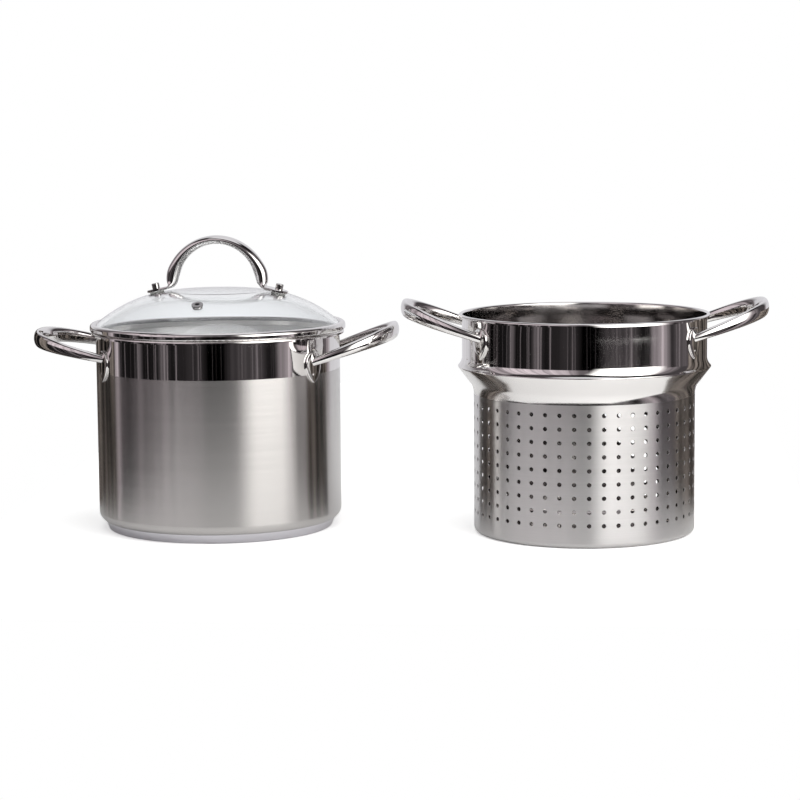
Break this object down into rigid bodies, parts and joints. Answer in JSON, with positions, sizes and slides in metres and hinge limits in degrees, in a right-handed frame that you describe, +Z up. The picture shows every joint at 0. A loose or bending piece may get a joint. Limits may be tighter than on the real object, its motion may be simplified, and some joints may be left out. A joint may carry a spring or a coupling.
{
  "type": "pasta pot",
  "caption": "Deep straight-sided steel pot with loop handles and a domed glass lid, beside its perforated pasta insert with a plain collar and handles of its own",
  "frame": {"origin": "centre of the underside of the pot's base, on the surface it stands on", "axes": "+Z up; +X along the pot's two side handles, towards the insert; +Y away from the side that shows the steam vent"},
  "size_m": [0.6654, 0.2423, 0.2655],
  "materials": {
    "brushed_shell": "horizontal fine brushing, polished band under the rim",
    "polished_steel": "mirror polished",
    "rim_steel": "polished rolled sheet",
    "base_steel": "satin",
    "insert_steel": "satin basket under a polished collar",
    "fixing_steel": "turned and polished",
    "base_aluminium": "rolled",
    "clear_glass": "clear tempered glass",
    "soft_washer": "matt translucent silicone"
  },
  "bodies": {
    "root": {"pot_shell": "brushed_shell", "pot_base_core": "base_aluminium", "pot_base_cap": "base_steel", "pot_handle_left": "polished_steel", "pot_handle_right": "polished_steel", "lid_glass": "clear_glass", "lid_rim_band": "rim_steel", "lid_handle": "polished_steel", "lid_upper_washer_left": "soft_washer", "lid_upper_washer_right": "soft_washer", "lid_lower_washer_left": "soft_washer", "lid_lower_washer_right": "soft_washer", "lid_screw_left": "fixing_steel", "lid_screw_right": "fixing_steel", "lid_barrel_nut_left": "fixing_steel", "lid_barrel_nut_right": "fixing_steel", "steam_vent": "rim_steel", "insert_body": "insert_steel", "insert_handle_left": "polished_steel", "insert_handle_right": "polished_steel"}
  },
  "joints": []
}
